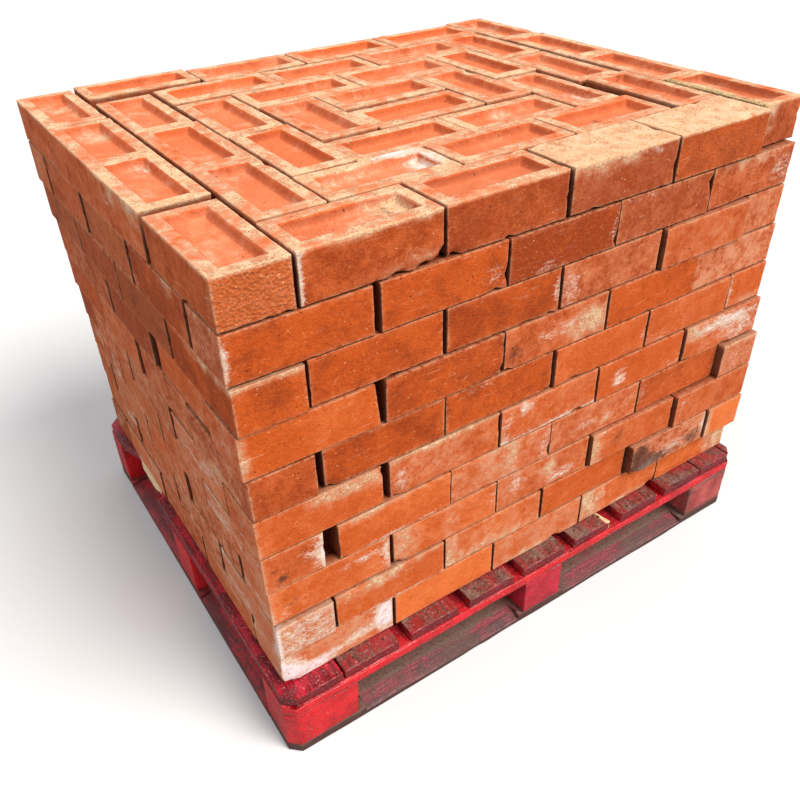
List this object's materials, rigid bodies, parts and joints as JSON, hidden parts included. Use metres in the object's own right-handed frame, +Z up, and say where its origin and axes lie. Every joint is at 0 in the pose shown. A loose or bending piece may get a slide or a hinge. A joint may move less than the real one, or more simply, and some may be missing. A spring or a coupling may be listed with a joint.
{
  "type": "pallet of bricks",
  "caption": "Frogged clay bricks stacked dry in interlocking rings, course on course, on a red-painted wooden block pallet with fork openings on all four sides.",
  "frame": {"origin": "on the floor, under the middle of the pallet", "axes": "+X along the pallet's long side, +Y from its front towards its back, +Z up"},
  "size_m": [1.2, 1, 0.966],
  "materials": {
    "brick": "rough fired clay, dusty",
    "painted_wood": "worn red paint"
  },
  "bodies": {
    "root": {"brick_course_01": "brick", "brick_course_02": "brick", "brick_course_03": "brick", "brick_course_04": "brick", "brick_course_05": "brick", "brick_course_06": "brick", "brick_course_07": "brick", "brick_course_08": "brick", "brick_course_09": "brick", "brick_course_10": "brick", "deck_board_1": "painted_wood", "deck_board_2": "painted_wood", "deck_board_3": "painted_wood", "deck_board_4": "painted_wood", "deck_board_5": "painted_wood", "deck_board_6": "painted_wood", "deck_board_7": "painted_wood", "deck_board_8": "painted_wood", "deck_board_9": "painted_wood", "stringer_front": "painted_wood", "stringer_middle": "painted_wood", "stringer_back": "painted_wood", "block_front_left": "painted_wood", "block_front_centre": "painted_wood", "block_front_right": "painted_wood", "block_middle_left": "painted_wood", "block_middle_centre": "painted_wood", "block_middle_right": "painted_wood", "block_back_left": "painted_wood", "block_back_centre": "painted_wood", "block_back_right": "painted_wood", "base_board_front": "painted_wood", "base_board_back": "painted_wood", "base_board_left": "painted_wood", "base_board_centre": "painted_wood", "base_board_right": "painted_wood"}
  },
  "joints": []
}
